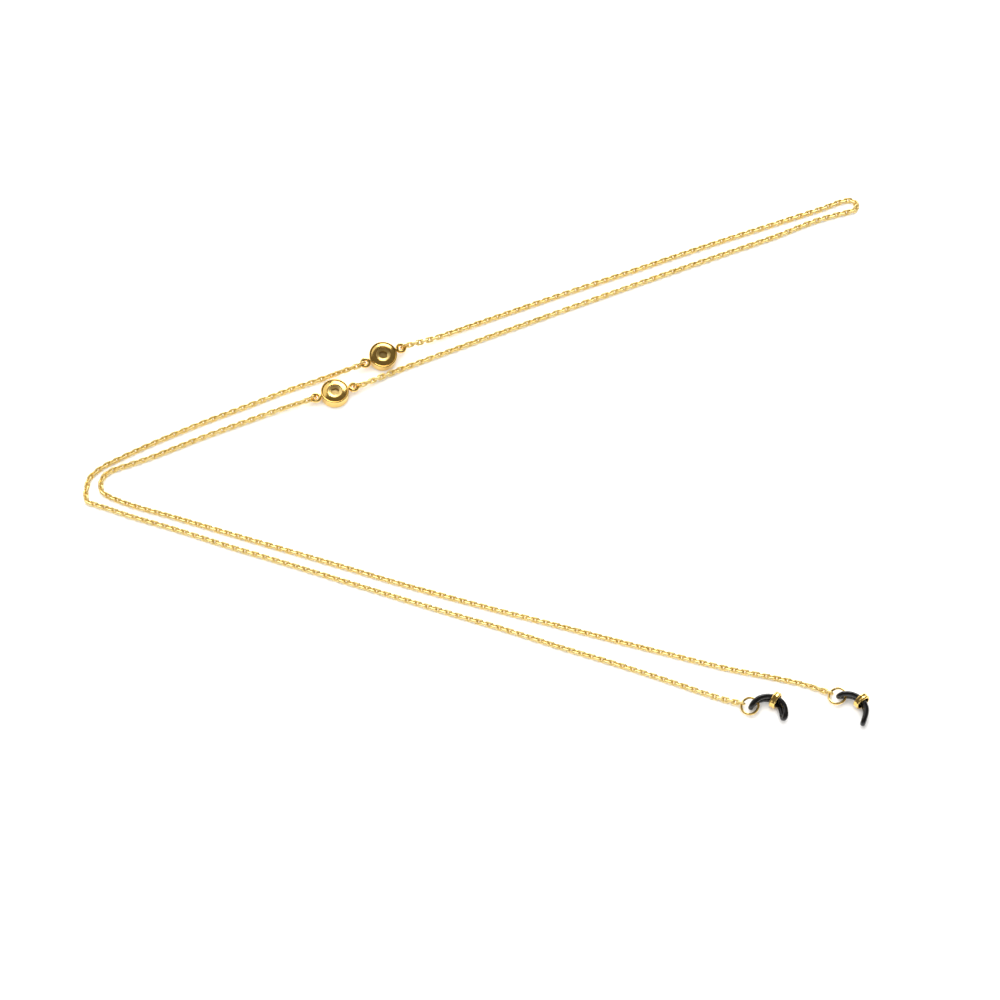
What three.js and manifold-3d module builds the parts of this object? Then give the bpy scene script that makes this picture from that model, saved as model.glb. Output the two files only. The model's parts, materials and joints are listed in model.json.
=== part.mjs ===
// Eyeglasses chain strap: three runs of fine cable chain, two round button stations let into the
// chain, and at each free end a jump ring, a rubber loop for the temple arm and its slider bead.
// Each run is a tube of the chain's diameter between its two end links, which are modelled.
// Millimetres, +Z up. The strap lies doubled on a flat surface at z = 0; the origin is on that
// surface, under the middle of the box around the stations and the two ends.
import * as THREE from 'three';
import { mergeVertices } from 'three/addons/utils/BufferGeometryUtils.js';
import Module from 'manifold-3d';

const wasm = await Module();
wasm.setup();

// ---- Driving dimensions ----
const CHAIN_DIAMETER = 1.5;
const CHAIN_SIDES = 8;
const STEPS_PER_ROUTE_POINT = 3;
const ROUND_SEGMENTS = 28; // around the turned pieces
const WIRE_SIDES = 8;

const LINK_WIRE = 0.25; // radius of a chain link's wire
const LINK_HALF_WIDTH = CHAIN_DIAMETER / 2 - LINK_WIRE; // between wire centres, like the next two
const LINK_HALF_STRAIGHT = 0.38;
const LINK_REACH = LINK_HALF_STRAIGHT + LINK_HALF_WIDTH;
const LINK_SLACK = 0.03; // between an end link's wire and the wire of its ring
const LINK_POINTS = 12;
const END_GAP = 0.15; // between a run's end face and its end link

const DISC_RADIUS = 3.35;
const DISC_WALL = 0.4;
const DISC_HEIGHT = 2.45;
const DISC_FLOOR = 0.45;
const RIM_EDGE = 0.3;
const FIT = 0.1; // clearance between the pieces of a station
const SHANK_RADIUS = 0.85;
const HEAD_RADIUS = 1.7;
const HEAD_TOP = 2.34; // the next three are also heights above the station's back
const HEXAGON_TOP = 2.12;
const HEXAGON_FLOOR = 1.78;
const SEAT_HEIGHT = 1.35; // of the cover's floor, under the rivet's head
const HEX_CORNER_RADIUS = 1.08;

const EYE_DISTANCE = 4.7; // from the disc's centre to the centre of an eye's hole
const EYE_RING_RADIUS = 0.92;
const EYE_WIRE_RADIUS = 0.42;
const EYE_HEIGHT = 1.7; // above the station's back
const NECK_RADIUS = 0.32;

const LINK_RING_RADIUS = 0.95; // the small ring between an eye and the chain
const LINK_RING_WIRE = 0.25;
const LINK_RING_OFFSET = 0.05; // of its wire from the middle of the eye's hole

const END_RING_RADIUS = 2.0;
const END_RING_WIRE = 0.3;
const END_RING_HEIGHT = 1.5; // of its centre above the surface

const RUBBER_RADIUS = 0.62;
const LOOP_HEIGHT = 2; // of the rubber loop's middle plane above the surface
const LOOP_TWIST_LENGTH = 8; // along the loop from its ring

const BEAD_HOLE_RADIUS = 1.5;
const BEAD_RADIUS = 1.98;
const BEAD_HALF_LENGTH = 0.75;
const BEAD_EDGE = 0.3;

// The end ring leans so that its raised side holds the loop's middle plane.
const END_RING_LEAN = Math.asin((LOOP_HEIGHT - END_RING_HEIGHT) / END_RING_RADIUS);

// ---- Places on the surface ----
const STATIONS = [
  { name: 'front_station', x: -58.93, y: 38.27, headingDeg: 18.4, leanDeg: 0, axisHeight: EYE_HEIGHT },
  { name: 'rear_station', x: -47.6, y: 48.23, headingDeg: 26, leanDeg: 9, axisHeight: 2.16 },
];
// chainDeg is the place on the ring, counted from its raised side, where the chain is linked to it.
// From the ring's wire the rubber follows an arc and then goes straight on to its tip. The bight
// is on the other side of the wire. The two strands twist about each other between twistDeg's two.
const ENDS = [
  {
    name: 'end_a', x: 37.77, y: -45.87, headingDeg: 36, chainDeg: 120,
    arcRadius: 3.89, arcDeg: 122, bight: -2.2, tip: 9.95, twistDeg: [-11, 30], beadDeg: 67.5,
  },
  {
    name: 'end_b', x: 58.02, y: -43.27, headingDeg: 2, chainDeg: 145,
    arcRadius: 4.33, arcDeg: 110, bight: -1.75, tip: 10.2, twistDeg: [-13, 6], beadDeg: 53.5,
  },
];

const rad = THREE.MathUtils.degToRad;

// ---- Materials ----
const gold = new THREE.MeshStandardMaterial({ color: 0xd9a830, roughness: 0.22, metalness: 1 });
const paleGold = new THREE.MeshStandardMaterial({ color: 0xe8bd55, roughness: 0.2, metalness: 1 });
const rubber = new THREE.MeshStandardMaterial({ color: 0x0c0c0d, roughness: 0.5, metalness: 0 });

function named(name, geometry, material) {
  const mesh = new THREE.Mesh(geometry, material);
  mesh.name = name;
  return mesh;
}

// ---- Solids ----
function toSolid(geometry) {
  const bare = geometry.clone();
  bare.deleteAttribute('normal');
  bare.deleteAttribute('uv');
  const merged = mergeVertices(bare, 1e-4);
  return new wasm.Manifold(new wasm.Mesh({
    numProp: 3,
    vertProperties: new Float32Array(merged.attributes.position.array),
    triVerts: new Uint32Array(merged.index.array),
  }));
}

function toGeometry(solid) {
  const mesh = solid.getMesh();
  const geometry = new THREE.BufferGeometry();
  geometry.setAttribute('position', new THREE.BufferAttribute(mesh.vertProperties, 3));
  geometry.setIndex(new THREE.BufferAttribute(mesh.triVerts, 1));
  return geometry;
}

// Turns a closed [radius, height] outline about Z.
function turned(outline, segments) {
  const points = outline.map(([r, z]) => new THREE.Vector2(r, z));
  points.push(points[0].clone());
  return new THREE.LatheGeometry(points, segments).rotateX(Math.PI / 2);
}

// ---- Station: cup with two eyes, domed cover, rivet with a hexagon recess ----
function cupGeometry() {
  const holeRadius = SHANK_RADIUS + FIT;
  const inner = DISC_RADIUS - DISC_WALL;
  const ledge = 1.5;
  const cup = turned([
    [holeRadius, 0],
    [DISC_RADIUS - RIM_EDGE, 0],
    [DISC_RADIUS, RIM_EDGE],
    [DISC_RADIUS, DISC_HEIGHT - RIM_EDGE],
    [DISC_RADIUS - DISC_WALL / 3, DISC_HEIGHT - 0.05],
    [DISC_RADIUS - DISC_WALL * 0.8, DISC_HEIGHT],
    [inner, DISC_HEIGHT - 0.15],
    [inner, ledge],
    [inner - 0.25, ledge],
    [inner - 0.25, DISC_FLOOR],
    [holeRadius, DISC_FLOOR],
  ], ROUND_SEGMENTS).translate(0, 0, -EYE_HEIGHT);
  let solid = toSolid(cup);
  const neckStart = DISC_RADIUS - DISC_WALL / 2;
  const neckEnd = EYE_DISTANCE - EYE_RING_RADIUS;
  for (const side of [-1, 1]) {
    const eye = new THREE.TorusGeometry(EYE_RING_RADIUS, EYE_WIRE_RADIUS, WIRE_SIDES, 16)
      .translate(side * EYE_DISTANCE, 0, 0);
    const neck = new THREE.CylinderGeometry(NECK_RADIUS, NECK_RADIUS, neckEnd - neckStart, 10)
      .rotateZ(Math.PI / 2)
      .translate(side * (neckStart + neckEnd) / 2, 0, 0);
    solid = solid.add(toSolid(eye)).add(toSolid(neck));
  }
  return toGeometry(solid);
}

// The cover is a dome with a counterbore, and the rivet's head fills it flush with the crest.
function domeGeometry() {
  const outer = DISC_RADIUS - DISC_WALL - FIT;
  const bore = HEAD_RADIUS + FIT;
  const hole = SHANK_RADIUS + 2 * FIT;
  const skirt = 1.6;
  return turned([
    [outer, skirt],
    [outer, 1.85],
    [outer - 0.25, 2.1],
    [outer - 0.58, 2.27],
    [outer - 0.85, 2.35],
    [bore + 0.04, HEAD_TOP + 0.03],
    [bore, HEAD_TOP - 0.01],
    [bore, SEAT_HEIGHT],
    [hole, SEAT_HEIGHT],
    [hole, SEAT_HEIGHT - 0.3],
    [outer - 0.35, SEAT_HEIGHT - 0.3],
    [outer - 0.35, skirt],
  ], ROUND_SEGMENTS).translate(0, 0, -EYE_HEIGHT);
}

// A flat-headed rivet: a conical countersink leads down to the hexagon.
function rivetGeometry() {
  const under = SEAT_HEIGHT + FIT;
  const profile = [
    [0, 0.05],
    [SHANK_RADIUS, 0.05],
    [SHANK_RADIUS, under],
    [HEAD_RADIUS - 0.1, under],
    [HEAD_RADIUS, under + 0.1],
    [HEAD_RADIUS, HEAD_TOP - 0.05],
    [HEAD_RADIUS - 0.07, HEAD_TOP],
    [HEAD_RADIUS - 0.14, HEAD_TOP],
    [HEX_CORNER_RADIUS + 0.05, HEXAGON_TOP],
    [0, HEXAGON_TOP],
  ].map(([r, z]) => new THREE.Vector2(r, z));
  const body = new THREE.LatheGeometry(profile, ROUND_SEGMENTS).rotateX(Math.PI / 2);
  const depth = HEXAGON_TOP - HEXAGON_FLOOR;
  const hexagon = new THREE.CylinderGeometry(HEX_CORNER_RADIUS, HEX_CORNER_RADIUS, 2 * depth, 6)
    .rotateX(Math.PI / 2)
    .translate(0, 0, HEXAGON_TOP);
  return toGeometry(toSolid(body).subtract(toSolid(hexagon))).translate(0, 0, -EYE_HEIGHT);
}

function linkRingGeometry() {
  return new THREE.TorusGeometry(LINK_RING_RADIUS, LINK_RING_WIRE, WIRE_SIDES, 18).rotateX(Math.PI / 2);
}

function makeStation({ name, x, y, headingDeg, leanDeg, axisHeight }) {
  const station = new THREE.Group();
  station.name = name;
  station.position.set(x, y, axisHeight);
  station.rotation.set(rad(leanDeg), 0, rad(headingDeg), 'ZXY');
  station.add(named(`${name}_cup`, cupGeometry(), gold));
  station.add(named(`${name}_dome`, domeGeometry(), gold));
  station.add(named(`${name}_rivet`, rivetGeometry(), paleGold));
  for (const [label, side] of [['left', -1], ['right', 1]]) {
    const ring = named(`${name}_ring_${label}`, linkRingGeometry(), paleGold);
    ring.position.x = side * (EYE_DISTANCE + LINK_RING_OFFSET + LINK_RING_RADIUS);
    station.add(ring);
  }
  return station;
}

// ---- Free end: jump ring, rubber loop, slider bead ----
// Half of the loop's outline, unrolled: [distance from the ring's wire along the loop, height of
// the strand above the loop's middle line], from the bight to the tip.
function loopOutline({ bight, tip }) {
  return [
    [bight, 0], [bight + 0.3, 0.72], [bight + 0.95, 1.02], [0.2, 1.06], [0.9, 1.02], [1.8, 0.9], [3, 0.81],
    [4.2, 0.8], [5.6, 0.8], [7, 0.8], [tip - 1.7, 0.8], [tip - 0.8, 0.76], [tip - 0.24, 0.54], [tip, 0],
  ];
}

function onLoop({ arcRadius, arcDeg, twistDeg }, distance, height) {
  const angle = Math.min(distance / arcRadius, rad(arcDeg));
  const straight = distance - arcRadius * angle;
  const share = THREE.MathUtils.smoothstep(distance, 0, LOOP_TWIST_LENGTH);
  const twist = rad(THREE.MathUtils.lerp(...twistDeg, share));
  const outward = arcRadius + height * Math.sin(twist);
  return new THREE.Vector3(
    outward * Math.sin(angle) + straight * Math.cos(angle),
    outward * Math.cos(angle) - straight * Math.sin(angle) - arcRadius,
    LOOP_HEIGHT + height * Math.cos(twist),
  );
}

function rubberLoopGeometry(end) {
  const outline = loopOutline(end);
  const upper = outline.map(([distance, height]) => onLoop(end, distance, height));
  const lower = outline.slice(1, -1).reverse()
    .map(([distance, height]) => onLoop(end, distance, -height));
  const path = new THREE.CatmullRomCurve3([...upper, ...lower], true, 'centripetal');
  return new THREE.TubeGeometry(path, 64, RUBBER_RADIUS, WIRE_SIDES, true);
}

function beadGeometry() {
  return turned([
    [BEAD_HOLE_RADIUS, -BEAD_HALF_LENGTH + 0.1],
    [BEAD_HOLE_RADIUS + 0.1, -BEAD_HALF_LENGTH],
    [BEAD_RADIUS - BEAD_EDGE, -BEAD_HALF_LENGTH],
    [BEAD_RADIUS, -BEAD_HALF_LENGTH + BEAD_EDGE],
    [BEAD_RADIUS, BEAD_HALF_LENGTH - BEAD_EDGE],
    [BEAD_RADIUS - BEAD_EDGE, BEAD_HALF_LENGTH],
    [BEAD_HOLE_RADIUS + 0.1, BEAD_HALF_LENGTH],
    [BEAD_HOLE_RADIUS, BEAD_HALF_LENGTH - 0.1],
  ], ROUND_SEGMENTS).rotateY(Math.PI / 2);
}

// The group's origin is on the surface under the ring's raised side, where the rubber wraps it.
function makeEnd(layout) {
  const { name, x, y, headingDeg, arcRadius, beadDeg } = layout;
  const end = new THREE.Group();
  end.name = name;
  const heading = rad(headingDeg);
  const run = END_RING_RADIUS * Math.cos(END_RING_LEAN);
  end.position.set(x + run * Math.cos(heading), y + run * Math.sin(heading), 0);
  end.rotation.z = heading;
  const ringShape = new THREE.TorusGeometry(END_RING_RADIUS, END_RING_WIRE, WIRE_SIDES, ROUND_SEGMENTS);
  const ring = named(`${name}_ring`, ringShape, gold);
  ring.position.set(-run, 0, END_RING_HEIGHT);
  ring.rotation.y = -END_RING_LEAN;
  const bead = named(`${name}_slider_bead`, beadGeometry(), gold);
  bead.position.copy(onLoop(layout, rad(beadDeg) * arcRadius, 0));
  bead.rotation.z = -rad(beadDeg);
  end.add(ring, named(`${name}_rubber_loop`, rubberLoopGeometry(layout), rubber), bead);
  return end;
}

// ---- Chain links ----
// The place where a chain is linked to a ring: the middle of the ring's wire and its direction there.
function hitchOn(ring, place, direction, wireRadius) {
  ring.updateWorldMatrix(true, false);
  return {
    point: ring.localToWorld(place),
    wireDirection: direction.transformDirection(ring.matrixWorld),
    wireRadius,
  };
}

function hitchAtStation(station, label, side) {
  const ring = station.getObjectByName(`${station.name}_ring_${label}`);
  const farSide = new THREE.Vector3(side * LINK_RING_RADIUS, 0, 0);
  return hitchOn(ring, farSide, new THREE.Vector3(0, 0, 1), LINK_RING_WIRE);
}

function hitchAtEnd(end, chainDeg) {
  const ring = end.getObjectByName(`${end.name}_ring`);
  const outward = new THREE.Vector3(Math.cos(rad(chainDeg)), Math.sin(rad(chainDeg)), 0);
  const direction = new THREE.Vector3(-outward.y, outward.x, 0);
  return hitchOn(ring, outward.multiplyScalar(END_RING_RADIUS), direction, END_RING_WIRE);
}

// An oval of round wire in the XY plane, long along X.
function linkGeometry() {
  const points = [];
  for (let i = 0; i < LINK_POINTS; i++) {
    const turn = 2 * Math.PI * (i + 0.5) / LINK_POINTS;
    const straight = Math.sign(Math.cos(turn)) * LINK_HALF_STRAIGHT;
    points.push(new THREE.Vector3(
      straight + LINK_HALF_WIDTH * Math.cos(turn),
      LINK_HALF_WIDTH * Math.sin(turn),
      0,
    ));
  }
  const path = new THREE.CatmullRomCurve3(points, true, 'centripetal');
  return new THREE.TubeGeometry(path, 2 * LINK_POINTS, LINK_WIRE, WIRE_SIDES, true);
}

// The link that is threaded on a ring's wire, square to it, and points along the chain.
function makeEndLink(name, { point, wireDirection, wireRadius }, along) {
  const normal = wireDirection.clone().projectOnPlane(along).normalize();
  const across = normal.clone().cross(along);
  const link = named(name, linkGeometry(), paleGold);
  link.quaternion.setFromRotationMatrix(new THREE.Matrix4().makeBasis(along, across, normal));
  link.position.copy(point).addScaledVector(along, LINK_REACH - LINK_WIRE - LINK_SLACK - wireRadius);
  return link;
}

// ---- Chain runs ----
const LYING = CHAIN_DIAMETER / 2; // height of a chain's middle where it lies on the surface

// From end A's ring, along the outer strand, round the outer elbow to the rear station.
const ROUTE_A = [
  [31.4, -43.6, 0.8], [19.5, -39.0], [6.8, -34.3], [-5.9, -29.9], [-18.6, -25.3], [-31.4, -21.0],
  [-44.2, -16.6], [-57.1, -12.1], [-70.0, -7.6], [-82.9, -3.2], [-95.9, 1.5], [-106.6, 5.1],
  [-111.8, 7.1], [-114.9, 8.2], [-116.6, 9.0], [-117.1, 10.5], [-117.0, 12.6], [-116.5, 15.1],
  [-115.0, 17.0], [-112.9, 18.7], [-109.4, 20.7], [-102.4, 24.5], [-90.7, 30.2], [-79.0, 35.4],
  [-69.2, 39.8], [-63.6, 41.9, 0.85], [-56.7, 44.3, 1.75],
];
// From the rear station along the far strand, round the turn, and back to the front station.
const ROUTE_NECK = [
  [-35.6, 53.4, 1.5], [-24.9, 58.1, 0.8], [-13.9, 62.6], [-0.6, 67.9], [11.4, 72.6], [23.4, 77.4],
  [35.5, 82.1], [47.7, 86.7], [57.4, 90.4], [63.0, 92.7], [64.9, 92.9], [66.1, 92.0],
  [66.0, 90.6], [64.4, 89.7], [61.7, 88.9], [56.1, 87.0], [46.4, 82.6], [34.2, 77.7],
  [22.2, 72.9], [10.1, 67.9], [-1.9, 62.9], [-13.8, 57.9], [-25.8, 52.9], [-36.5, 48.3],
  [-44.7, 44.6, 0.85],
];
// From the front station, round the inner elbow, along the inner strand to end B's ring.
const ROUTE_B = [
  [-71.3, 34.2, 1.1], [-78.9, 31.2, 0.8], [-90.7, 26.2], [-102.3, 20.9], [-107.9, 18.7], [-110.5, 17.7],
  [-112.3, 16.6], [-113.4, 15.1], [-113.7, 13.2], [-113.2, 11.6], [-111.8, 10.5], [-106.7, 8.2],
  [-96.0, 4.7], [-83.0, 0.3], [-70.1, -4.0], [-57.2, -8.3], [-44.3, -12.7], [-31.4, -16.8],
  [-18.6, -20.7], [-5.9, -24.4], [6.9, -28.2], [19.6, -31.9], [32.3, -35.5], [43.8, -38.1],
  [51.4, -40.1],
];

// A curve that is sampled evenly between its points, so that close points give short steps. It
// doesn't dip into the surface where it comes down to it.
class Route extends THREE.CatmullRomCurve3 {
  getPoint(t, target) {
    const point = super.getPoint(t, target);
    point.z = Math.max(point.z, LYING);
    return point;
  }

  getPointAt(t, target) {
    return this.getPoint(t, target);
  }

  getTangentAt(t, target) {
    return this.getTangent(t, target);
  }
}

// A run from one ring to another: an end link at each, and the tube between them.
function makeChainRun(name, startHitch, middle, endHitch, linkNames) {
  const run = new THREE.Group();
  const points = middle.map(([x, y, z = LYING]) => new THREE.Vector3(x, y, z));
  const [start, end] = [[startHitch, points[0]], [endHitch, points.at(-1)]].map(([hitch, next], index) => {
    const along = next.clone().sub(hitch.point).normalize();
    const link = makeEndLink(linkNames[index], hitch, along);
    run.add(link);
    return link.position.clone().addScaledVector(along, LINK_REACH + LINK_WIRE + END_GAP);
  });
  const route = new Route([start, ...points, end], false, 'centripetal');
  const section = new THREE.Shape();
  section.absarc(0, 0, CHAIN_DIAMETER / 2, 0, 2 * Math.PI);
  const tube = new THREE.ExtrudeGeometry(section, {
    steps: (points.length + 1) * STEPS_PER_ROUTE_POINT,
    curveSegments: CHAIN_SIDES / 2, // an arc is given twice as many
    extrudePath: route,
  });
  run.add(named(name, tube, paleGold));
  return run;
}

// ---- Assembly ----
const [frontStation, rearStation] = STATIONS.map(makeStation);
const [endA, endB] = ENDS.map(makeEnd);
const group = new THREE.Group();
group.add(frontStation, rearStation, endA, endB);
group.add(makeChainRun(
  'chain_run_a',
  hitchAtEnd(endA, ENDS[0].chainDeg),
  ROUTE_A,
  hitchAtStation(rearStation, 'left', -1),
  ['end_a_chain_link', 'rear_station_chain_link_left'],
));
group.add(makeChainRun(
  'chain_run_neck',
  hitchAtStation(rearStation, 'right', 1),
  ROUTE_NECK,
  hitchAtStation(frontStation, 'right', 1),
  ['rear_station_chain_link_right', 'front_station_chain_link_right'],
));
group.add(makeChainRun(
  'chain_run_b',
  hitchAtStation(frontStation, 'left', -1),
  ROUTE_B,
  hitchAtEnd(endB, ENDS[1].chainDeg),
  ['front_station_chain_link_left', 'end_b_chain_link'],
));

export default group;
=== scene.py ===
"""An eyeglasses chain strap lying doubled on a pale surface: fine gilt cable chain modelled link by
link, two button stations, and at each end a jump ring, a rubber loop and its slider bead."""

import json
import math

import bmesh
import bpy
import numpy as np
from mathutils import Matrix, Vector


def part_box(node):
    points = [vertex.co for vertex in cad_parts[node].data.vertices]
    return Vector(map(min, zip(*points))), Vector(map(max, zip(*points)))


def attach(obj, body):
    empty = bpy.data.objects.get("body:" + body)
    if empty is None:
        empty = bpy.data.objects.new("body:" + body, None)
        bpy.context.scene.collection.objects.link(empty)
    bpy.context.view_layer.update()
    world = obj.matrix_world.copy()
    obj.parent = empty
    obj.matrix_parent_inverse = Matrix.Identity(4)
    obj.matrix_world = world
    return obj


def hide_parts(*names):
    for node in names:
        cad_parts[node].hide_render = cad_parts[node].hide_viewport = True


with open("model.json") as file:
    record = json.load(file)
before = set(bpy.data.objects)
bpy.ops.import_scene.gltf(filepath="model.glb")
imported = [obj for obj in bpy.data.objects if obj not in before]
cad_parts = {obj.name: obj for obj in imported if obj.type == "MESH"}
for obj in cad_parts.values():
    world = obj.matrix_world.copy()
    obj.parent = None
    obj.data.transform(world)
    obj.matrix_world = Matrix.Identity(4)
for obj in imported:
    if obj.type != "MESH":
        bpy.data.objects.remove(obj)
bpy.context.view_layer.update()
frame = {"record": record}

MM = 0.001  # every piece is drawn in millimetres and placed in metres
RANDOM = np.random.default_rng(11)

# ---- Driving dimensions, in millimetres. The sizes are the CAD model's, with finer edges, closer
# fits, a slightly fuller link, cover and eye's neck, and a higher rim round the hexagon. Heights in
# a station are from its back, and a wire's size is its radius ----
LINK_WIRE = 0.27
LINK_HALF_WIDTH = 0.5  # between wire centres, like the next two
LINK_HALF_STRAIGHT = 0.4
LINK_REACH = LINK_HALF_STRAIGHT + LINK_HALF_WIDTH  # from a link's centre to its wire's centre at an end
LINK_PITCH = 2 * LINK_REACH - 2 * LINK_WIRE
LINK_SLACK = 0.03  # between an end link's wire and the wire of its ring

DISC_RADIUS = 3.35
DISC_WALL = 0.4
DISC_HEIGHT = 2.45
BACK_CORNER = 0.35  # radius of the cup's edge between its back and its wall
BACK_THICKNESS = 0.45
LEDGE_HEIGHT = 1.5  # of the ledge in the cup that the domed cover sits over
LEDGE_WIDTH = 0.25
EYE_DISTANCE = 4.7
EYE_RING_RADIUS = 0.92
EYE_WIRE = 0.42
EYE_HEIGHT = 1.7
NECK_FLARE = [(0.52, 0), (0.48, 0.2), (0.4, 0.3), (0.36, 0.42)]  # radius, and distance from the cup
NECK_RADIUS = 0.36

SHANK_RADIUS = 0.85
SHANK_FOOT = 0.05  # height of the rivet's end in the back
SHANK_CLEARANCE = 0.1
HEAD_RADIUS = 1.7
HEAD_TOP = 2.34
HEAD_CLEARANCE = 0.02  # between the rivet's head and its seat in the cover
HEXAGON_TOP = 2.19
HEXAGON_FLOOR = 1.78
HEX_CORNER_RADIUS = 1.08
COUNTERSINK = [(1.42, 0.045), (1.27, 0.085)]  # radius, and depth below the top of the head

COVER_CLEARANCE = 0.04
COVER_RIM_HEIGHT = 1.6  # of the underside of the cover's edge
COVER_RIM_WIDTH = 0.35
# Distance in from the cover's edge, and height; then distance out from its bore, and height.
COVER_SHOULDER = [(0, 2.2), (0.05, 2.28), (0.2, 2.33), (0.45, 2.4), (0.75, 2.46), (1.0, 2.49)]
COVER_CREST = [(0.07, 2.5), (0.02, 2.485), (0, 2.45)]
COVER_HOLE_RADIUS = 1.05
SEAT_HEIGHT = 1.35  # of the cover's floor, under the rivet's head
SEAT_THICKNESS = 0.3

LINK_RING_RADIUS = 0.95
LINK_RING_WIRE = 0.25
LINK_RING_OFFSET = 0.05  # of its wire from the middle of the eye's hole
LINK_RING_SEAM = 1.2  # place of the seam, in radians round the ring
END_RING_RADIUS = 2.0
END_RING_WIRE = 0.3
END_RING_HEIGHT = 1.5
END_RING_SEAM = 1.7
SEAM_GAP = 0.05  # of an opened and closed jump ring

RUBBER_RADIUS = 0.62
STRAND_HEIGHT = 0.8  # of a strand's middle above or below the loop's middle line
LOOP_HEIGHT = 2.0
LOOP_TWIST_LENGTH = 8.0
# Each loop's arc radius, arc angle, bight and tip along the loop, and its strands' twist at the
# ring and at the tip.
LOOPS = {
    "end_a": (3.89, 122, -2.2, 9.95, (-11, 30)),
    "end_b": (4.33, 110, -1.75, 10.2, (-13, 6)),
}
BEAD_RADIUS = 1.98
BEAD_HOLE_RADIUS = 1.5
BEAD_HALF_LENGTH = 0.75
BEAD_RIM = 0.34  # radius of the bead's rolled rims
BEAD_WAIST = [(0.05, -0.14), (0.06, 0), (0.05, 0.14)]  # depth below the rims, and place along the bead

# ---- Chain routes: the CAD model's points. A third number is a height other than lying ----
LYING_HEIGHT = 0.68  # of the middle of a lying chain, below CAD's as links lie tilted on their edges
ROUTE_A = [
    (31.4, -43.6, 0.8), (19.5, -39.0), (6.8, -34.3), (-5.9, -29.9), (-18.6, -25.3), (-31.4, -21.0),
    (-44.2, -16.6), (-57.1, -12.1), (-70.0, -7.6), (-82.9, -3.2), (-95.9, 1.5), (-106.6, 5.1),
    (-111.8, 7.1), (-114.9, 8.2), (-116.6, 9.0), (-117.1, 10.5), (-117.0, 12.6), (-116.5, 15.1),
    (-115.0, 17.0), (-112.9, 18.7), (-109.4, 20.7), (-102.4, 24.5), (-90.7, 30.2), (-79.0, 35.4),
    (-69.2, 39.8), (-63.6, 41.9, 0.85), (-56.7, 44.3, 1.75),
]
ROUTE_NECK = [
    (-35.6, 53.4, 1.5), (-24.9, 58.1, 0.8), (-13.9, 62.6), (-0.6, 67.9), (11.4, 72.6), (23.4, 77.4),
    (35.5, 82.1), (47.7, 86.7), (57.4, 90.4), (63.0, 92.7), (64.9, 92.9), (66.1, 92.0),
    (66.0, 90.6), (64.4, 89.7), (61.7, 88.9), (56.1, 87.0), (46.4, 82.6), (34.2, 77.7),
    (22.2, 72.9), (10.1, 67.9), (-1.9, 62.9), (-13.8, 57.9), (-25.8, 52.9), (-36.5, 48.3),
    (-44.7, 44.6, 0.85),
]
ROUTE_B = [
    (-71.3, 34.2, 1.1), (-78.9, 31.2, 0.8), (-90.7, 26.2), (-102.3, 20.9), (-107.9, 18.7), (-110.5, 17.7),
    (-112.3, 16.6), (-113.4, 15.1), (-113.7, 13.2), (-113.2, 11.6), (-111.8, 10.5), (-106.7, 8.2),
    (-96.0, 4.7), (-83.0, 0.3), (-70.1, -4.0), (-57.2, -8.3), (-44.3, -12.7), (-31.4, -16.8),
    (-18.6, -20.7), (-5.9, -24.4), (6.9, -28.2), (19.6, -31.9), (32.3, -35.5), (43.8, -38.1),
    (51.4, -40.1),
]

# ---- How the links lie: rolls about the chain's own line, in degrees ----
LYING_ROLL = 45
ROLL_BY_DIRECTION = 12  # more where the chain runs to +X, less where it runs to -X
ROLL_SWAY = 5
ROLL_SWAY_LENGTH = 9.0
ROLL_JITTER = 4
ROLL_SETTLE = 9.0  # millimetres over which the links turn from a ring's hold to lying


# ---- Camera: a long lens, looking down at the strap from the front ----
VIEW_ELEVATION = math.radians(60)
VIEW_DISTANCE = 1.5
VIEW_CENTRE = Vector((-0.0198, 0.0098, 0.0))
LENS_LENGTH = 229.8
SENSOR_WIDTH = 36
CLIP_START = 0.05


def make_camera():
    camera = bpy.data.cameras.new("camera")
    camera.lens = LENS_LENGTH
    camera.sensor_width = SENSOR_WIDTH
    holder = bpy.data.objects.new("camera", camera)
    back = Vector((0, -math.cos(VIEW_ELEVATION), math.sin(VIEW_ELEVATION)))
    holder.location = VIEW_CENTRE + VIEW_DISTANCE * back
    holder.rotation_euler = (math.pi / 2 - VIEW_ELEVATION, 0, 0)
    camera.clip_start = CLIP_START
    bpy.context.collection.objects.link(holder)
    bpy.context.scene.camera = holder


# ---- Mesh helpers. A part is a list of millimetre vertices and a list of faces ----
SHARP_EDGE = math.radians(40)  # an edge that bends more than this is drawn sharp


def make_piece(name, vertices, faces, place=None):
    """A smooth mesh from millimetre vertices, with its hard edges marked sharp."""
    points = np.asarray(vertices, float)
    if place is not None:
        turn = np.array(place.to_3x3())
        points = points @ turn.T + np.array(place.translation)
    mesh = bpy.data.meshes.new(name)
    mesh.from_pydata((points * MM).tolist(), [], faces)
    work = bmesh.new()
    work.from_mesh(mesh)
    bmesh.ops.recalc_face_normals(work, faces=work.faces)
    for face in work.faces:
        face.smooth = True
    for edge in work.edges:
        edge.smooth = len(edge.link_faces) == 2 and edge.calc_face_angle(0) < SHARP_EDGE
    work.to_mesh(mesh)
    work.free()
    piece = bpy.data.objects.new(name, mesh)
    bpy.context.collection.objects.link(piece)
    return piece


def whole_turn(count):
    """Evenly spaced angles all the way round."""
    return np.linspace(0, 2 * math.pi, count, endpoint=False)


def unit_rows(vectors):
    return vectors / np.linalg.norm(vectors, axis=1)[:, None]


def circle(radius, turns, middle=0):
    """Points at the given angles round a circle in the XY plane, with its middle on the X axis."""
    return [(middle + radius * math.cos(t), radius * math.sin(t), 0) for t in turns]


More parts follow.
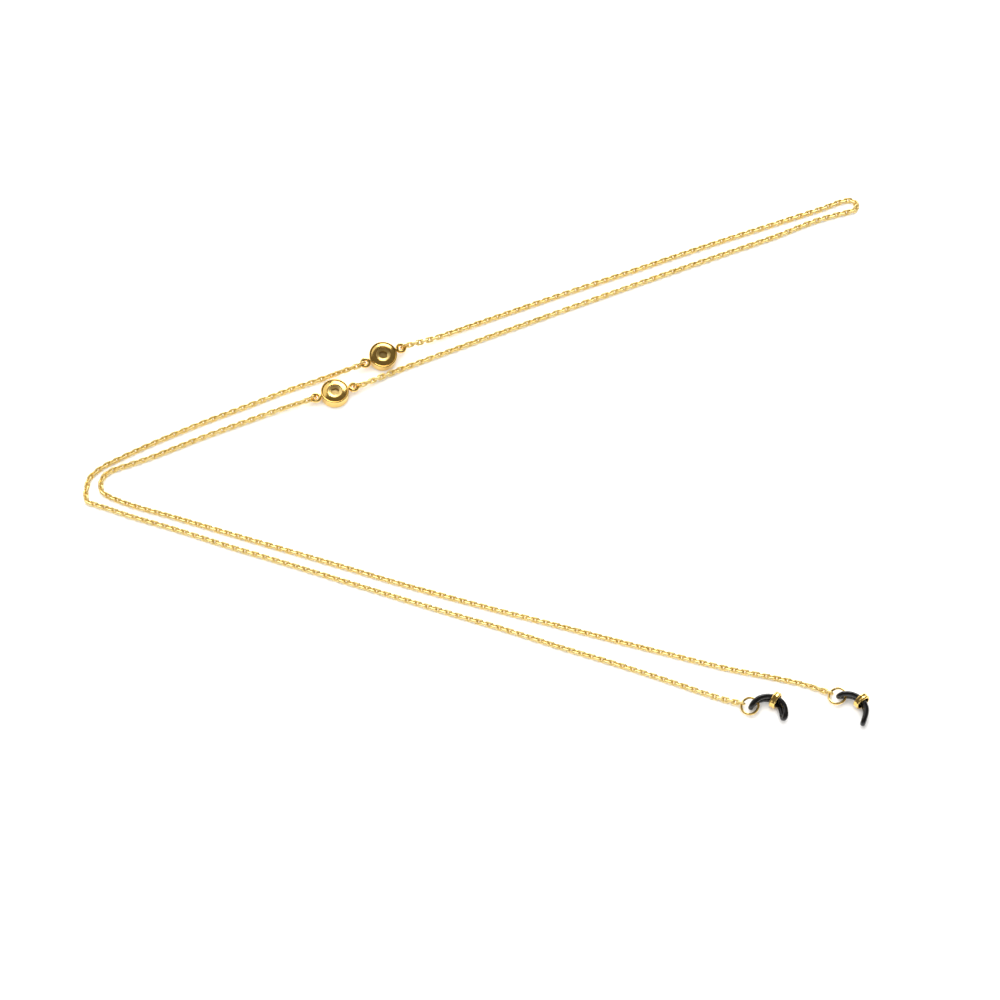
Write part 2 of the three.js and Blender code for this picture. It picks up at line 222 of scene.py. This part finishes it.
def grid_faces(rows, columns, closed_rows):
    """Quads of a grid of points whose columns close on themselves, and whose rows may."""
    faces = []
    for i in range(rows if closed_rows else rows - 1):
        below = i * columns
        above = (i + 1) % rows * columns
        for j in range(columns):
            k = (j + 1) % columns
            faces.append((below + j, below + k, above + k, above + j))
    return faces


def turned(outline, segments=96):
    """Turns a closed (radius, height) outline about Z, or one that starts and ends on the axis."""
    on_axis = outline[0][0] == 0
    profile = outline[1:-1] if on_axis else outline
    vertices = [(r * math.cos(a), r * math.sin(a), z) for r, z in profile for a in whole_turn(segments)]
    faces = grid_faces(len(profile), segments, not on_axis)
    if on_axis:
        for row in (0, len(profile) - 1):
            faces.append(tuple(row * segments + j for j in range(segments)))
    return vertices, faces


def sections(path, across, over, radius, sides):
    """Circles of points round each point of a path, in the plane of two square directions there."""
    return [
        point + radius * (math.cos(a) * c + math.sin(a) * o)
        for point, c, o in zip(path, across, over)
        for a in whole_turn(sides)
    ]


def closed_tangents(path):
    return unit_rows(np.roll(path, -1, 0) - np.roll(path, 1, 0))


def tube(path, radius, sides, closed):
    """A round tube along points of a path that never runs straight up."""
    path = np.asarray(path, float)
    tangents = closed_tangents(path) if closed else unit_rows(np.gradient(path, axis=0))
    across = unit_rows(np.cross(tangents, (0, 0, 1)))
    vertices = sections(path, across, np.cross(across, tangents), radius, sides)
    faces = grid_faces(len(path), sides, closed)
    if not closed:
        faces += [tuple(range(sides)), tuple(range(len(path) * sides - sides, len(path) * sides))]
    return vertices, faces


def moved(part, matrix):
    vertices, faces = part
    return [tuple(matrix @ Vector(v)) for v in vertices], faces


def cut(piece, tool_part, operation):
    """Joins or cuts a piece with a closed part, by an exact boolean that is then applied."""
    tool = make_piece(piece.name + "_tool", *tool_part)
    modifier = piece.modifiers.new("boolean", "BOOLEAN")
    modifier.operation = operation
    modifier.solver = "EXACT"
    modifier.use_self = operation == "UNION"
    modifier.object = tool
    bpy.context.view_layer.update()
    result = piece.evaluated_get(bpy.context.evaluated_depsgraph_get())
    mesh = bpy.data.meshes.new_from_object(result)
    piece.modifiers.clear()
    piece.data = mesh
    bpy.data.objects.remove(tool)


def arc(centre, radius, start, end, count):
    """Points of an arc in an outline, angles in degrees."""
    turns = np.radians(np.linspace(start, end, count))
    return [(centre[0] + radius * math.cos(t), centre[1] + radius * math.sin(t)) for t in turns]


def spline(points, per_span, closed=False):
    """The centripetal Catmull-Rom curve through points, sampled evenly between them."""
    points = [np.asarray(p, float) for p in points]
    if closed:
        around = [points[-1], *points, points[0], points[1]]
    else:
        around = [2 * points[0] - points[1], *points, 2 * points[-1] - points[-2]]
    knots = [np.linalg.norm(b - a) ** 0.5 for a, b in zip(around, around[1:])]
    curve = []
    for i, (first, middle, last) in enumerate(zip(knots, knots[1:], knots[2:])):
        before, start, end, after = around[i:i + 4]
        step = (end - start) / middle
        leave = ((start - before) / first - (end - before) / (first + middle) + step) * middle
        arrive = (step - (after - start) / (middle + last) + (after - end) / last) * middle
        for t in np.arange(per_span) / per_span:
            curve.append(
                start + leave * t
                + (3 * (end - start) - 2 * leave - arrive) * t**2
                + (2 * (start - end) + leave + arrive) * t**3
            )
    if not closed:
        curve.append(points[-1])
    return np.array(curve)


# ---- Materials. Noise scales are per metre, distances in metres ----
def node(tree, kind, **inputs):
    made = tree.nodes.new(kind)
    for name, value in inputs.items():
        made.inputs[name.replace("_", " ")].default_value = value
    return made


def new_material(name):
    """A material with its node tree and its shader."""
    material = bpy.data.materials.new(name)
    material.use_nodes = True
    return material, material.node_tree, material.node_tree.nodes["Principled BSDF"]


def noise(tree, scale, detail, roughness=0.5):
    coordinates = tree.nodes.new("ShaderNodeTexCoord")
    texture = node(tree, "ShaderNodeTexNoise", Scale=scale, Detail=detail, Roughness=roughness)
    tree.links.new(coordinates.outputs["Object"], texture.inputs["Vector"])
    return texture.outputs["Fac"]


def ramp(tree, source, stops):
    made = tree.nodes.new("ShaderNodeValToRGB")
    band = made.color_ramp
    while len(band.elements) < len(stops):
        band.elements.new(0.5)
    for element, (position, colour) in zip(band.elements, stops):
        element.position = position
        element.color = (*colour, 1)
    tree.links.new(source, made.inputs["Fac"])
    return made.outputs["Color"]


def between(tree, source, low, high):
    made = node(tree, "ShaderNodeMapRange", To_Min=low, To_Max=high)
    tree.links.new(source, made.inputs["Value"])
    return made.outputs["Result"]


def add_bump(tree, shader, height, strength, distance):
    bump = node(tree, "ShaderNodeBump", Strength=strength, Distance=distance)
    tree.links.new(height, bump.inputs["Height"])
    tree.links.new(bump.outputs["Normal"], shader.inputs["Normal"])


def half_and_half(tree, first, second):
    """The even mix of two colours. A colour mix has its factor at input 0, its colours at inputs 6
    and 7, and its result at output 2."""
    mix = tree.nodes.new("ShaderNodeMix")
    mix.data_type = "RGBA"
    mix.inputs[0].default_value = 0.5
    tree.links.new(first, mix.inputs[6])
    tree.links.new(second, mix.inputs[7])
    return mix.outputs[2]


def gold(name, deep, pale, smooth, rough, per_link=False):
    """Gold plate: uneven tone, hazy handling marks and fine scratches. A chain's tone also differs
    from link to link, and other pieces are paler on worn edges and carry painted shade, a darker brown, in
    corners and hollows."""
    material, tree, shader = new_material(name)
    shader.inputs["Metallic"].default_value = 1.0
    tone = ramp(tree, noise(tree, scale=700, detail=4.0), [(0.3, deep), (0.7, pale)])
    geometry = tree.nodes.new("ShaderNodeNewGeometry")
    if per_link:
        duller = tuple(0.92 * c for c in pale)
        stops = [(0.0, deep), (0.5, pale), (1.0, duller)]
        other = ramp(tree, geometry.outputs["Random Per Island"], stops)
    else:
        # Painted shade: concave corners and the hexagon's floor are darkened to brown by pointiness.
        painted_corner_shade = (0.3 * deep[0], 0.2 * deep[1], 0.1 * deep[2])
        stops = [(0.4, painted_corner_shade), (0.5, deep), (0.56, pale)]
        other = ramp(tree, geometry.outputs["Pointiness"], stops)
    tree.links.new(half_and_half(tree, tone, other), shader.inputs["Base Color"])
    haze = between(tree, noise(tree, scale=1800, detail=5.0, roughness=0.6), smooth, rough)
    tree.links.new(haze, shader.inputs["Roughness"])
    add_bump(tree, shader, noise(tree, scale=9000, detail=3.0), strength=0.25, distance=0.00002)
    return material


def black_rubber():
    """Moulded black silicone: faint mottling, a soft sheen and dust-dulled patches."""
    material, tree, shader = new_material("black_rubber")
    shader.inputs["Specular IOR Level"].default_value = 0.5
    stops = [(0.3, (0.002, 0.002, 0.0025)), (0.75, (0.006, 0.006, 0.0065))]
    colour = ramp(tree, noise(tree, scale=900, detail=4.0), stops)
    tree.links.new(colour, shader.inputs["Base Color"])
    sheen = between(tree, noise(tree, scale=1500, detail=4.0), 0.04, 0.12)
    tree.links.new(sheen, shader.inputs["Roughness"])
    add_bump(tree, shader, noise(tree, scale=5000, detail=4.0), strength=0.2, distance=0.00001)
    return material


def pale_surface():
    """The matt white surface that the strap lies on, very slightly uneven in tone."""
    material, tree, shader = new_material("pale_surface")
    shader.inputs["Roughness"].default_value = 0.6
    shader.inputs["Specular IOR Level"].default_value = 0.2
    stops = [(0.3, (0.93, 0.93, 0.93)), (0.7, (0.95, 0.95, 0.95))]
    colour = ramp(tree, noise(tree, scale=40, detail=2.0), stops)
    tree.links.new(colour, shader.inputs["Base Color"])
    return material


PLATE_GOLD = gold("gold_plate", deep=(0.86, 0.56, 0.15), pale=(1.0, 0.74, 0.27), smooth=0.07, rough=0.2)
WIRE_GOLD = gold("gold_wire", deep=(0.9, 0.6, 0.18), pale=(1.0, 0.76, 0.31), smooth=0.1, rough=0.24)
CHAIN_GOLD = gold(
    "gold_chain", deep=(0.92, 0.68, 0.24), pale=(1.0, 0.81, 0.37), smooth=0.26, rough=0.4, per_link=True
)
RIVET_GOLD = gold("gold_rivet", deep=(0.95, 0.68, 0.24), pale=(1.0, 0.8, 0.38), smooth=0.24, rough=0.4)
RUBBER = black_rubber()


def finish_piece(piece, material, body, cad_node):
    piece.data.materials.clear()
    piece.data.materials.append(material)
    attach(piece, body)
    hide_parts(cad_node)


# ---- Places, from the frame's joints ----
JOINTS = {joint["name"]: joint for joint in frame["record"]["behaviour"]["joints"]}


def joint_place(name):
    joint = JOINTS[name]
    return Vector(joint["pos_m"]) / MM, Vector(joint["axis"]).normalized()


def axes_matrix(origin, x, y, z):
    matrix = Matrix((x, y, z)).transposed().to_4x4()
    matrix.translation = origin
    return matrix


def station_place(station):
    """X along the eyes, Z out of the face, origin on the line between the eyes."""
    origin, x = joint_place(f"{station}_turn")
    y = joint_place(f"{station}_ring_left_spin")[1]
    return axes_matrix(origin, x, y, x.cross(y))


def end_place(end):
    """Origin on the surface under the wire that the rubber wraps, X along the rubber there."""
    wire, axis = joint_place(f"{end}_loop_swing")
    y = -axis
    z = Vector((0, 0, 1))
    return axes_matrix(Vector((wire.x, wire.y, 0)), y.cross(z), y, z)


# ---- Chain ----
def link_mesh():
    """One link of round wire in the XY plane, long along X, centred on the origin."""
    path = []
    count = 24
    for i in range(count):
        turn = 2 * math.pi * (i + 0.5) / count
        straight = math.copysign(LINK_HALF_STRAIGHT, math.cos(turn))
        path.append((straight + LINK_HALF_WIDTH * math.cos(turn), LINK_HALF_WIDTH * math.sin(turn), 0))
    return tube(path, LINK_WIRE, sides=12, closed=True)


LINK_VERTICES, LINK_FACES = link_mesh()
CHAIN_PIECES = bpy.data.collections.new("chain_pieces")


def wire_roll(wire, along):
    """The tilt from level of the width of a link that is threaded square on a wire."""
    level = Vector((0, 0, 1)).cross(along).normalized()
    normal = wire - wire.dot(along) * along
    return math.degrees(math.atan2(-normal.dot(level), normal.dot(along.cross(level)))) % 180


def link_turns(line, along, first, last, end_rolls):
    """Centre and axes of each link of a run: places one pitch apart, on the line, each turned a
    quarter from the one before. The links lie tilted, and near the ends they turn to the rolls
    that the rings' wires hold them at."""
    count = round((last - first) / LINK_PITCH) + 1
    last_roll = (end_rolls[1] - 90 * ((count - 1) % 2)) % 180
    for index, place in enumerate(np.linspace(first, last, count)):
        back, centre, ahead = (
            np.array([np.interp(place + step, along, line[:, i]) for i in range(3)])
            for step in (-LINK_REACH / 2, 0, LINK_REACH / 2)
        )
        tangent = (ahead - back) / np.linalg.norm(ahead - back)
        roll = LYING_ROLL + ROLL_BY_DIRECTION * tangent[0]
        roll += ROLL_SWAY * math.sin(place / ROLL_SWAY_LENGTH) + RANDOM.uniform(-ROLL_JITTER, ROLL_JITTER)
        for distance, held in ((place - first, end_rolls[0]), (last - place, last_roll)):
            # The shorter way round to a roll that is the same after half a turn.
            difference = (held - roll + 90) % 180 - 90
            roll += max(0.0, 1 - distance / ROLL_SETTLE) * difference
        roll = math.radians(roll + 90 * (index % 2))
        lowest_height = LINK_HALF_WIDTH * abs(math.sin(roll)) + LINK_WIRE
        centre[2] = max(centre[2], lowest_height)
        level = np.cross([0, 0, 1], tangent)
        level /= np.linalg.norm(level)
        width = math.cos(roll) * level + math.sin(roll) * np.cross(tangent, level)
        yield centre, np.array([tangent, width, np.cross(tangent, width)])


def links_piece(name, links, cad_node):
    base = np.array(LINK_VERTICES)
    vertices = [base @ turn + centre for centre, turn in links]
    faces = [tuple(i + n * len(base) for i in face) for n in range(len(links)) for face in LINK_FACES]
    piece = make_piece(name, np.concatenate(vertices), faces)
    finish_piece(piece, CHAIN_GOLD, "chain", cad_node)
    CHAIN_PIECES.objects.link(piece)
    return piece


def make_chain(run, route, holds, end_links):
    """A run of interlinked links from one ring's wire to another's. A hold is the middle of the
    wire, its direction there and its radius."""
    (start, start_wire, start_radius), (end, end_wire, end_radius) = holds
    route = [p if len(p) == 3 else (*p, LYING_HEIGHT) for p in route]
    line = spline([start, *route, end], per_span=24)
    line[:, 2] = np.maximum(line[:, 2], LYING_HEIGHT)
    along = np.concatenate([[0], np.cumsum(np.linalg.norm(np.diff(line, axis=0), axis=1))])
    reach = LINK_REACH - LINK_WIRE - LINK_SLACK
    end_rolls = (
        wire_roll(start_wire, (Vector(line[1]) - Vector(line[0])).normalized()),
        wire_roll(end_wire, (Vector(line[-1]) - Vector(line[-2])).normalized()),
    )
    first = reach - start_radius
    last = along[-1] - reach + end_radius
    links = list(link_turns(line, along, first, last, end_rolls))
    links_piece(f"{end_links[0]}_wire", links[:1], end_links[0])
    links_piece(f"{end_links[1]}_wire", links[-1:], end_links[1])
    piece = links_piece(f"{run}_links", links[1:-1], run)


def station_hold(station, side):
    """The far side of one of a station's small rings."""
    place = station_place(station)
    reach = EYE_DISTANCE + LINK_RING_OFFSET + 2 * LINK_RING_RADIUS
    return place @ Vector((side * reach, 0, 0)), place.to_3x3() @ Vector((0, 0, 1)), LINK_RING_WIRE


def end_hold(end):
    """The place on an end's jump ring that its last link hangs on."""
    point, wire = joint_place(f"{end}_ring_swing")
    return point, wire, END_RING_WIRE


def make_chains():
    make_chain(
        "chain_run_a", ROUTE_A, (end_hold("end_a"), station_hold("rear_station", -1)),
        ("end_a_chain_link", "rear_station_chain_link_left"),
    )
    make_chain(
        "chain_run_neck", ROUTE_NECK, (station_hold("rear_station", 1), station_hold("front_station", 1)),
        ("rear_station_chain_link_right", "front_station_chain_link_right"),
    )
    make_chain(
        "chain_run_b", ROUTE_B, (station_hold("front_station", -1), end_hold("end_b")),
        ("front_station_chain_link_left", "end_b_chain_link"),
    )


# ---- Jump rings ----
def ring_mesh(radius, wire, seam_angle):
    """A wire ring in the XY plane, cut through at one place as a jump ring is."""
    count = 72
    half_gap = SEAM_GAP / 2 / radius
    turns = seam_angle + np.linspace(half_gap, 2 * math.pi - half_gap, count)
    return tube(circle(radius, turns), wire, sides=14, closed=False)


# ---- Stations. Outlines are radii and heights from the back; places are from the eyes' line ----
def from_eyes(part):
    """A part measured from a station's back, moved to be measured from the line of its eyes."""
    return moved(part, Matrix.Translation((0, 0, -EYE_HEIGHT)))


def cup_mesh():
    """A cup with a rounded back edge, a rolled lip, a ledge inside and a hole for the rivet."""
    hole = SHANK_RADIUS + SHANK_CLEARANCE
    hole_bevel = 0.06
    inner = DISC_RADIUS - DISC_WALL
    ledge = inner - LEDGE_WIDTH
    lip = DISC_WALL / 2
    outline = [(hole, hole_bevel), (hole + hole_bevel, 0)]
    outline += arc((DISC_RADIUS - BACK_CORNER, BACK_CORNER), BACK_CORNER, -90, 0, count=8)
    outline += arc((DISC_RADIUS - lip, DISC_HEIGHT - lip), lip, 0, 180, count=16)
    outline += [(inner, LEDGE_HEIGHT), (ledge, LEDGE_HEIGHT), (ledge, BACK_THICKNESS), (hole, BACK_THICKNESS)]
    return from_eyes(turned(outline, segments=128))


def eye_mesh(side):
    """An eye and the flared neck that joins it to the cup."""
    path = circle(EYE_RING_RADIUS, whole_turn(48), middle=side * EYE_DISTANCE)
    start = DISC_RADIUS - DISC_WALL / 2
    end = EYE_DISTANCE - EYE_RING_RADIUS
    flare = [(radius, start + out) for radius, out in NECK_FLARE]
    outline = [(0, start), *flare, (NECK_RADIUS, end), (0, end)]
    neck = moved(turned(outline, segments=24), Matrix.Rotation(side * math.pi / 2, 4, "Y"))
    return tube(path, EYE_WIRE, sides=18, closed=True), neck


def dome_mesh():
    """A domed cover: an edge that sits over the cup's ledge, a full round shoulder up to the crest,
    the counterbore that the rivet's head fills, and a plug that goes down inside the ledge."""
    outer = DISC_RADIUS - DISC_WALL - COVER_CLEARANCE
    bore = HEAD_RADIUS + COVER_CLEARANCE
    plug = outer - COVER_RIM_WIDTH
    underside = SEAT_HEIGHT - SEAT_THICKNESS
    shoulder = [(outer - inward, height) for inward, height in COVER_SHOULDER]
    shoulder += [(bore + outward, height) for outward, height in COVER_CREST]
    outline = [(outer, COVER_RIM_HEIGHT), *(tuple(p) for p in spline(shoulder, per_span=5))]
    outline += [(bore, SEAT_HEIGHT), (COVER_HOLE_RADIUS, SEAT_HEIGHT), (COVER_HOLE_RADIUS, underside)]
    outline += [(plug, underside), (plug, COVER_RIM_HEIGHT)]
    return from_eyes(turned(outline, segments=128))


def rivet_mesh():
    """A flat-headed rivet whose round-edged countersink leads down to the hexagon."""
    under = SEAT_HEIGHT + HEAD_CLEARANCE
    foot_bevel = 0.08
    under_bevel = 0.06
    edge = 0.07  # radius of the head's outer edge
    brow = 0.3  # radius of the edge between the head's top and its countersink
    brow_radius = HEAD_RADIUS - 0.09
    hexagon_rim = HEX_CORNER_RADIUS + 0.03
    outline = [(0, SHANK_FOOT), (SHANK_RADIUS - foot_bevel, SHANK_FOOT)]
    outline += [(SHANK_RADIUS, SHANK_FOOT + foot_bevel), (SHANK_RADIUS, under)]
    outline += [(HEAD_RADIUS - under_bevel, under), (HEAD_RADIUS, under + under_bevel)]
    outline += arc((HEAD_RADIUS - edge, HEAD_TOP - edge), edge, 0, 90, count=6)
    outline += arc((brow_radius, HEAD_TOP - brow), brow, 90, 100, count=3)
    outline += [(radius, HEAD_TOP - depth) for radius, depth in COUNTERSINK]
    outline += [(hexagon_rim, HEXAGON_TOP), (0, HEXAGON_TOP)]
    return from_eyes(turned(outline))


def hexagon_mesh():
    """The hexagonal tool that cuts the rivet's recess. It stands a little above the rim."""
    overshoot = 0.2
    corners = circle(HEX_CORNER_RADIUS, np.radians(np.arange(0, 360, 60)))
    vertices = [(x, y, z) for z in (HEXAGON_FLOOR, HEXAGON_TOP + overshoot) for x, y, _ in corners]
    faces = grid_faces(2, 6, False) + [tuple(range(5, -1, -1)), tuple(range(6, 12))]
    return from_eyes((vertices, faces))


def make_cup(station, place):
    cup = make_piece(f"{station}_cup_shell", *cup_mesh(), place)
    for side in (-1, 1):
        eye, neck = eye_mesh(side)
        cut(cup, moved(neck, place), "UNION")
        cut(cup, moved(eye, place), "UNION")
    finish_piece(cup, PLATE_GOLD, station, f"{station}_cup")


def make_dome(station, place):
    dome = make_piece(f"{station}_domed_cover", *dome_mesh(), place)
    finish_piece(dome, PLATE_GOLD, station, f"{station}_dome")


def make_rivet(station, place):
    rivet = make_piece(f"{station}_hex_rivet", *rivet_mesh(), place)
    cut(rivet, moved(hexagon_mesh(), place), "DIFFERENCE")
    finish_piece(rivet, RIVET_GOLD, station, f"{station}_rivet")


def make_small_ring(station, label):
    origin, spin = joint_place(f"{station}_ring_{label}_spin")
    x = joint_place(f"{station}_turn")[1]
    place = axes_matrix(origin, x, spin.cross(x), spin)
    part = ring_mesh(LINK_RING_RADIUS, LINK_RING_WIRE, LINK_RING_SEAM)
    ring = make_piece(f"{station}_jump_ring_{label}", *part, place)
    finish_piece(ring, WIRE_GOLD, f"{station}_ring_{label}", f"{station}_ring_{label}")


def make_station(station):
    place = station_place(station)
    make_cup(station, place)
    make_dome(station, place)
    make_rivet(station, place)
    for label in ("left", "right"):
        make_small_ring(station, label)


# ---- Ends ----
def loop_outline(bight, tip):
    """Half of a loop unrolled: distance from the ring's wire, and the strand's height above the
    loop's middle line, from the bight to the tip."""
    return [
        (bight, 0), (bight + 0.3, 0.72), (bight + 0.95, 1.02), (0.2, 1.06), (0.9, 1.02), (1.8, 0.9),
        (3, 0.81), (4.2, STRAND_HEIGHT), (5.6, STRAND_HEIGHT), (7, STRAND_HEIGHT),
        (tip - 1.7, STRAND_HEIGHT), (tip - 0.8, 0.76), (tip - 0.24, 0.54), (tip, 0),
    ]


def on_loop(end, distance, height):
    """The point at a distance along a loop and a height from its middle line, once the loop is
    bent along its arc and its strands are twisted."""
    radius, arc_degrees, _, _, twists = LOOPS[end]
    angle = min(distance / radius, math.radians(arc_degrees))
    straight = distance - radius * angle
    share = min(max(distance / LOOP_TWIST_LENGTH, 0.0), 1.0)
    share *= share * (3 - 2 * share)
    twist = math.radians(twists[0] + share * (twists[1] - twists[0]))
    outward = radius + height * math.sin(twist)
    return (
        outward * math.sin(angle) + straight * math.cos(angle),
        outward * math.cos(angle) - straight * math.sin(angle) - radius,
        LOOP_HEIGHT + height * math.cos(twist),
    )


def rubber_mesh(end):
    """A closed loop of rubber cord, from the ring's wire out to the tip and back."""
    radius, _, bight, tip, _ = LOOPS[end]
    outline = loop_outline(bight, tip)
    upper = [on_loop(end, distance, height) for distance, height in outline]
    lower = [on_loop(end, distance, -height) for distance, height in outline[-2:0:-1]]
    path = spline(upper + lower, per_span=8, closed=True)
    # Framed from the arc's own axis through its centre, the section never twists.
    centre = np.array([0, -radius, LOOP_HEIGHT])
    tangents = closed_tangents(path)
    outward = path - centre
    outward[:, 2] = 0
    outward -= np.sum(outward * tangents, axis=1)[:, None] * tangents
    outward = unit_rows(outward)
    sides = 20
    vertices = sections(path, outward, np.cross(tangents, outward), RUBBER_RADIUS, sides)
    return vertices, grid_faces(len(path), sides, True)


def bead_mesh():
    """A barrel bead with rolled rims and a bevelled hole."""
    length, rim = BEAD_HALF_LENGTH, BEAD_RIM
    mouth = [(BEAD_HOLE_RADIUS, length - 0.12), (BEAD_HOLE_RADIUS + 0.05, length - 0.03)]  # the bevel
    outline = [(radius, -place) for radius, place in mouth]
    outline += arc((BEAD_RADIUS - rim, -length + rim), rim, -90, 10, count=10)
    outline += [(BEAD_RADIUS - depth, place) for depth, place in BEAD_WAIST]
    outline += arc((BEAD_RADIUS - rim, length - rim), rim, -10, 90, count=10)
    outline += reversed(mouth)
    return moved(turned(outline), Matrix.Rotation(math.pi / 2, 4, "Y"))


def make_end_ring(end, place):
    """The end's jump ring. It leans from the rubber down to the chain."""
    lean = math.asin((LOOP_HEIGHT - END_RING_HEIGHT) / END_RING_RADIUS)
    centre = Matrix.Translation((-END_RING_RADIUS * math.cos(lean), 0, END_RING_HEIGHT))
    part = ring_mesh(END_RING_RADIUS, END_RING_WIRE, END_RING_SEAM)
    ring = make_piece(f"{end}_jump_ring", *part, place @ centre @ Matrix.Rotation(-lean, 4, "Y"))
    finish_piece(ring, WIRE_GOLD, f"{end}_ring", f"{end}_ring")


def make_loop(end, place):
    loop = make_piece(f"{end}_temple_loop", *rubber_mesh(end), place)
    finish_piece(loop, RUBBER, f"{end}_loop", f"{end}_rubber_loop")


def make_bead(end, place):
    """The slider bead, square on the loop's middle line at the place where the frame has it."""
    low, high = (Vector(c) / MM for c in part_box(f"{end}_slider_bead"))
    middle = place.inverted() @ ((low + high) / 2)
    radius = LOOPS[end][0]
    angle = math.atan2(middle.x, middle.y + radius)
    on_line = Matrix.Translation(on_loop(end, angle * radius, 0)) @ Matrix.Rotation(-angle, 4, "Z")
    bead = make_piece(f"{end}_bead", *bead_mesh(), place @ on_line)
    finish_piece(bead, PLATE_GOLD, f"{end}_bead", f"{end}_slider_bead")


def make_end(end):
    place = end_place(end)
    make_end_ring(end, place)
    make_loop(end, place)
    make_bead(end, place)


# ---- Surface and light ----
SURFACE_REACH = 1500  # millimetres from the origin to each side of the surface
ROOM_COLOUR = (0.16, 0.14, 0.11, 1)


def make_surface():
    corners = [(x * SURFACE_REACH, y * SURFACE_REACH, 0) for x, y in ((-1, -1), (1, -1), (1, 1), (-1, 1))]
    surface = make_piece("surface", corners, [(0, 1, 2, 3)])
    surface.data.materials.append(pale_surface())


def area_light(name, place, size, radiance):
    """A rectangular light that faces the middle of the view, sized and placed in metres."""
    light = bpy.data.lights.new(name, "AREA")
    light.shape = "RECTANGLE"
    light.size, light.size_y = size
    light.energy = radiance * math.pi * size[0] * size[1]
    holder = bpy.data.objects.new(name, light)
    holder.location = place
    holder.rotation_euler = (VIEW_CENTRE - Vector(place)).to_track_quat("-Z", "Y").to_euler()
    bpy.context.collection.objects.link(holder)
    return holder


def make_lights():
    """A bright softbox behind the strap, dimmer cards to the left and in front, an overhead fill
    that whitens the surface but isn't mirrored in the gold, a card that only the chain sees, and a
    dim warm room."""
    area_light("back_softbox", place=(0.2, 1.4, 0.78), size=(0.85, 1.5), radiance=4.8)
    area_light("left_card", place=(-1.0, 1.0, 0.85), size=(1.5, 1.8), radiance=0.85)
    area_light("front_card", place=(-0.2, -1.5, 0.6), size=(1.8, 0.9), radiance=0.7)
    fill = area_light("fill", place=(-0.1, 0.0, 1.7), size=(2.2, 2.2), radiance=3.3)
    fill.visible_glossy = False
    chain_card = area_light("chain_card", place=(0.0, -0.2, 1.6), size=(2.6, 2.2), radiance=0.66)
    chain_card.light_linking.receiver_collection = CHAIN_PIECES
    world = bpy.data.worlds.new("studio")
    world.use_nodes = True
    world.node_tree.nodes["Background"].inputs["Color"].default_value = ROOM_COLOUR
    bpy.context.scene.world = world
    bpy.context.scene.view_settings.view_transform = "Standard"


make_camera()
make_chains()
for station in ("front_station", "rear_station"):
    make_station(station)
for end in ("end_a", "end_b"):
    make_end(end)
make_surface()
make_lights()
